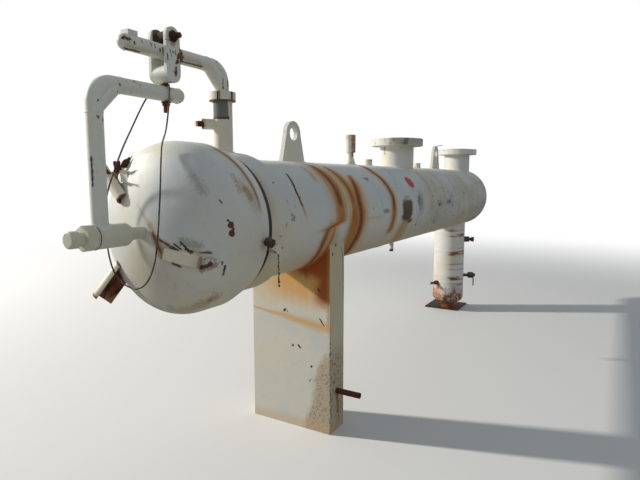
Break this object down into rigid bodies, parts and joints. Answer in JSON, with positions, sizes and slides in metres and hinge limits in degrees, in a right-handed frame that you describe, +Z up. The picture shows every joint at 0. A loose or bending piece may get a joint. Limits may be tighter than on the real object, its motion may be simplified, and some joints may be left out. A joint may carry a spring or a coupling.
{
  "type": "horizontal shell and tube heat exchanger",
  "caption": "Horizontal cylindrical process vessel on a saddle and a liquid boot, with flanged top nozzles and a dished closure head hung from a swinging davit with a trolley.",
  "frame": {"origin": "on the ground under the middle of the saddle, in the vessel's middle plane", "axes": "+X along the vessel from the closure to the rear head, +Z up, +Y to the far side in the picture"},
  "size_m": [5.063, 0.782, 2.0504],
  "materials": {
    "paint": "aged cream paint with rust streaks",
    "rust": "rusted bare steel",
    "dark_steel": "dark weathered steel",
    "wire": "dark wire rope"
  },
  "bodies": {
    "vessel": {"shell_front": "paint", "shell_middle": "paint", "shell_rear": "paint", "closure_ring": "paint", "rear_head": "paint", "nozzle_1_neck": "paint", "nozzle_1_flange": "paint", "nozzle_2_neck": "paint", "nozzle_2_flange": "paint", "saddle_base": "paint", "saddle_front_web": "paint", "saddle_rear_web": "paint", "saddle_side_near": "paint", "saddle_side_far": "paint", "boot_pipe": "paint", "boot_cap": "paint", "lifting_lug_front": "paint", "lifting_lug_rear": "paint", "vent_fitting": "paint", "half_couplings": "paint", "bottom_drain": "paint", "davit_post": "paint", "saddle_drain": "rust", "boot_stub": "rust", "boot_base_plate": "rust", "boot_plug": "rust", "boot_nipple": "rust", "joint_lug": "rust", "lock_bolt": "rust", "boot_valve": "dark_steel"},
    "davit": {"davit_arm": "paint", "arm_collar": "paint", "arm_stop": "paint"},
    "trolley": {"trolley_cheek_near": "paint", "trolley_cheek_far": "paint", "trolley_roller": "rust", "roller_bolt": "rust", "cross_tube": "paint"},
    "hanger": {"swivel_bolt": "rust", "hanger_arm": "paint", "hanger_sleeve": "paint", "closure_head": "paint", "head_shaft": "paint", "shaft_nut": "paint", "shaft_knob": "paint", "head_bracket_near": "paint", "head_bracket_upper": "paint", "head_bracket_lower": "paint", "wire_sling": "wire"}
  },
  "joints": [
    {"name": "davit_swing", "type": "hinge", "parent": "vessel", "child": "davit", "pos_m": [-0.63, 0, 1.808], "axis": [0, 0, -1], "range_deg": [0, 40]},
    {"name": "trolley_roll", "type": "slide", "parent": "davit", "child": "trolley", "axis": [-1, 0, 0], "range_m": [0, 0.115]},
    {"name": "hanger_swivel", "type": "hinge", "parent": "trolley", "child": "hanger", "pos_m": [-0.975, 0, 1.835], "axis": [0, 0, 1], "range_deg": [0, 40]}
  ],
  "couplings": [
    {"joint": "davit_swing", "follows": "trolley_roll", "rad_per_m": 6},
    {"joint": "hanger_swivel", "follows": "trolley_roll", "rad_per_m": 6}
  ]
}
